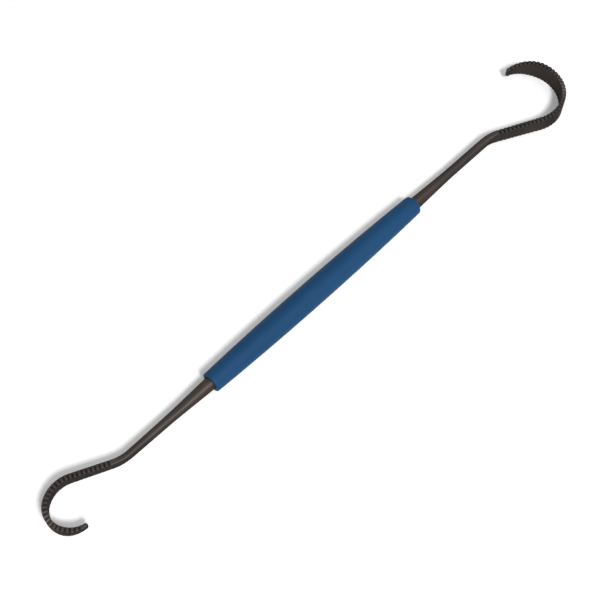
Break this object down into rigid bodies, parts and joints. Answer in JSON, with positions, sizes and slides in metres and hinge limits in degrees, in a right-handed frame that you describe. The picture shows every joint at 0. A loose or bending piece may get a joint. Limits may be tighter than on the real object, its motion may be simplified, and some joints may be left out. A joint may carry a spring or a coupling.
{
  "type": "double-ended hook scriber",
  "caption": "Double-ended hand tool with a soft barrel grip and a flattened, toothed steel hook at each end, one larger than the other, for scoring and scraping.",
  "frame": {"origin": "middle of the grip, on the axis of the handle", "axes": "+X along the handle towards the large hook, +Y towards the side that the large hook's tip is on, +Z along the width of the flattened hooks"},
  "size_m": [0.2593, 0.0289, 0.0094],
  "materials": {
    "dark_steel": "dark brown-grey hard coating on steel, satin, bronze where it is polished near the grip",
    "core_steel": "plain turned steel, hidden by the sleeve",
    "sleeve_rubber": "smooth blue silicone rubber with a soft satin surface"
  },
  "bodies": {
    "root": {"grip_sleeve": "sleeve_rubber", "handle_core": "core_steel", "large_hook_end": "dark_steel", "small_hook_end": "dark_steel"}
  },
  "joints": []
}
